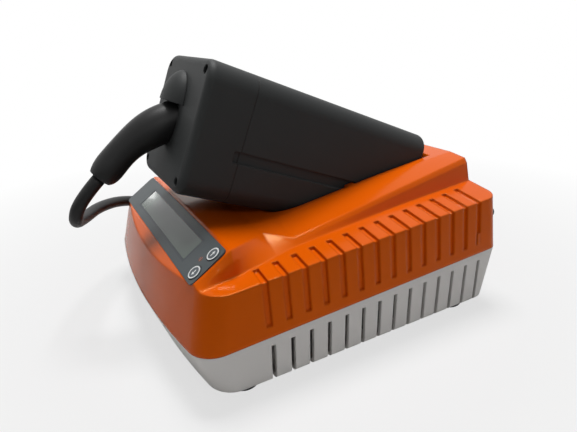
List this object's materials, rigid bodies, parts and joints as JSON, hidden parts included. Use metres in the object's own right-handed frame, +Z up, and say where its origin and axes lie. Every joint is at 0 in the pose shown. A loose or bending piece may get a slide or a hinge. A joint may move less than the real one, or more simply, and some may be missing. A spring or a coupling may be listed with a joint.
{
  "type": "power tool battery charger",
  "caption": "Tabletop charger with a vented two-part housing, sloping display, and a cradle holding a battery-shaped adapter pack with a lead.",
  "frame": {"origin": "middle of the housing on the surface that the feet stand on", "axes": "+X towards the vented side seen in the picture, -Y towards the display end, +Z up"},
  "size_m": [0.329, 0.2805, 0.179],
  "materials": {
    "block_plastic": "black connector moulding",
    "capacitor_sleeve": "dark blue sleeve",
    "choke_ferrite": "coated ring",
    "circuit_board": "green solder mask",
    "contact_brass": "plated contact",
    "core_steel": "lacquered core",
    "cover_orange": "smooth glossy moulded orange with light orange-peel",
    "display_glass": "grey-green display window",
    "fan_plastic": "black fan moulding",
    "foot_rubber": "black rubber",
    "heatsink_metal": "extruded aluminium",
    "key_cap": "slate key cap with white ring and arrow",
    "label_film": "slate printed film with white key rings",
    "lead_rubber": "black rubber jacket, satin",
    "lens": "dull reddish unlit lens",
    "module_body": "display module",
    "pack_plastic": "charcoal, fine spark-eroded grain",
    "plug_plastic": "black plug moulding",
    "screw_steel": "dark zinc plated",
    "shell_grey": "light warm grey, fine even grain"
  },
  "bodies": {
    "charger_base": {"capacitor_1": "capacitor_sleeve", "capacitor_2": "capacitor_sleeve", "capacitor_3": "capacitor_sleeve", "cord_coil": "lead_rubber", "cord_tail": "lead_rubber", "display_board": "circuit_board", "display_label": "label_film", "fan_frame": "fan_plastic", "foot_front_left": "foot_rubber", "foot_front_right": "foot_rubber", "foot_rear_left": "foot_rubber", "foot_rear_right": "foot_rubber", "heatsink": "heatsink_metal", "inlet_pin_1": "contact_brass", "inlet_pin_2": "contact_brass", "inlet_pin_3": "contact_brass", "lcd_module": "module_body", "lcd_window": "display_glass", "lead_plug": "plug_plastic", "line_choke": "choke_ferrite", "lower_housing": "shell_grey", "main_board": "circuit_board", "mains_inlet": "block_plastic", "plug_pin_1": "contact_brass", "plug_pin_2": "contact_brass", "plug_pin_3": "contact_brass", "rear_buffer_left": "foot_rubber", "rear_buffer_right": "foot_rubber", "status_lens": "lens", "terminal_blade_1": "contact_brass", "terminal_blade_2": "contact_brass", "terminal_blade_3": "contact_brass", "terminal_blade_4": "contact_brass", "terminal_block": "block_plastic", "transformer_core": "core_steel", "upper_housing": "cover_orange"},
    "adapter_pack": {"cap_screw_lower_left": "screw_steel", "cap_screw_lower_right": "screw_steel", "cap_screw_upper_left": "screw_steel", "cap_screw_upper_right": "screw_steel", "cord_boot": "lead_rubber", "cord_hood": "pack_plastic", "cord_lead": "lead_rubber", "pack_board": "circuit_board", "pack_contact_block": "block_plastic", "pack_end_cap": "pack_plastic", "pack_shell": "pack_plastic"},
    "key_rear_body": {"key_rear": "key_cap"},
    "key_front_body": {"key_front": "key_cap"},
    "fan_wheel": {"fan_rotor": "fan_plastic"},
    "plug_lock": {"plug_ring": "plug_plastic"}
  },
  "joints": [
    {"name": "pack_slide", "type": "slide", "parent": "charger_base", "child": "adapter_pack", "axis": [0, -0.9302, 0.367], "range_m": [0, 0.16]},
    {"name": "key_rear_press", "type": "slide", "parent": "charger_base", "child": "key_rear_body", "axis": [0, 0.5736, -0.8192], "range_m": [0, 0.0007], "stiffness_N_per_m": 600, "springref_m": -0.0005},
    {"name": "key_front_press", "type": "slide", "parent": "charger_base", "child": "key_front_body", "axis": [0, 0.5736, -0.8192], "range_m": [0, 0.0007], "stiffness_N_per_m": 600, "springref_m": -0.0005},
    {"name": "fan_spin", "type": "hinge", "parent": "charger_base", "child": "fan_wheel", "pos_m": [0.0825, 0.03, 0.0337], "axis": [1, 0, 0], "continuous": true},
    {"name": "plug_lock_turn", "type": "hinge", "parent": "charger_base", "child": "plug_lock", "pos_m": [-0.1232, 0.1165, 0.0102], "axis": [0, 1, 0], "range_deg": [0, 60]}
  ]
}
